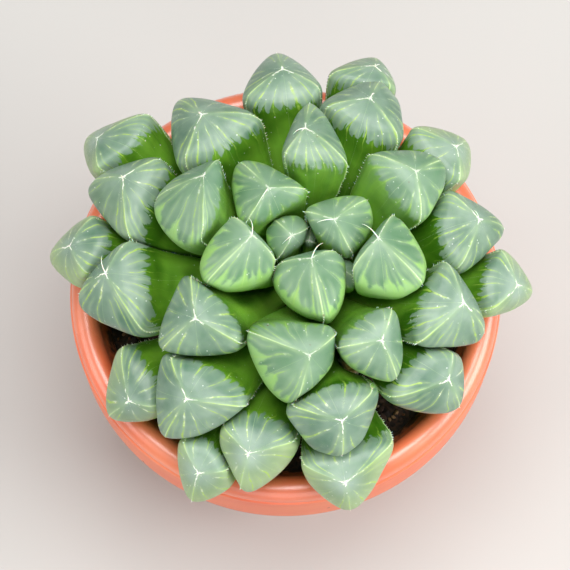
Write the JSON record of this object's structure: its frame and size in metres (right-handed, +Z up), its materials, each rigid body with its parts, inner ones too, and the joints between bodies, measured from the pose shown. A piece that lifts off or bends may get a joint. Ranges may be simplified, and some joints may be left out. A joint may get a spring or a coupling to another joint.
{
  "type": "potted succulent",
  "caption": "Rosette of plump window-tipped haworthia leaves growing from a short stem in soil, in a small round plastic pot with a rounded rim.",
  "frame": {"origin": "middle of the flat pad under the pot, on the surface it stands on", "axes": "+Z up along the pot's axis; the rosette's own axis stands 3.6 mm towards +X and 0.7 mm towards +Y of it; -Y is the side the picture is taken from"},
  "size_m": [0.0822, 0.0792, 0.087],
  "materials": {
    "leaf_flesh": "satin, translucent waxy skin with pale windows at the tips",
    "stem_tissue": "matte",
    "potting_mix": "matte, crumbly",
    "pot_plastic": "gloss, moulded"
  },
  "bodies": {
    "root": {"leaf_01": "leaf_flesh", "leaf_02": "leaf_flesh", "leaf_03": "leaf_flesh", "leaf_04": "leaf_flesh", "leaf_05": "leaf_flesh", "leaf_06": "leaf_flesh", "leaf_07": "leaf_flesh", "leaf_08": "leaf_flesh", "leaf_09": "leaf_flesh", "leaf_10": "leaf_flesh", "leaf_11": "leaf_flesh", "leaf_12": "leaf_flesh", "leaf_13": "leaf_flesh", "leaf_14": "leaf_flesh", "leaf_15": "leaf_flesh", "leaf_16": "leaf_flesh", "leaf_17": "leaf_flesh", "leaf_18": "leaf_flesh", "leaf_19": "leaf_flesh", "leaf_20": "leaf_flesh", "leaf_21": "leaf_flesh", "leaf_22": "leaf_flesh", "leaf_23": "leaf_flesh", "leaf_24": "leaf_flesh", "leaf_25": "leaf_flesh", "leaf_26": "leaf_flesh", "leaf_27": "leaf_flesh", "leaf_28": "leaf_flesh", "leaf_29": "leaf_flesh", "leaf_30": "leaf_flesh", "leaf_31": "leaf_flesh", "leaf_32": "leaf_flesh", "leaf_33": "leaf_flesh", "leaf_34": "leaf_flesh", "pot": "pot_plastic", "soil": "potting_mix", "stem": "stem_tissue"}
  },
  "joints": []
}
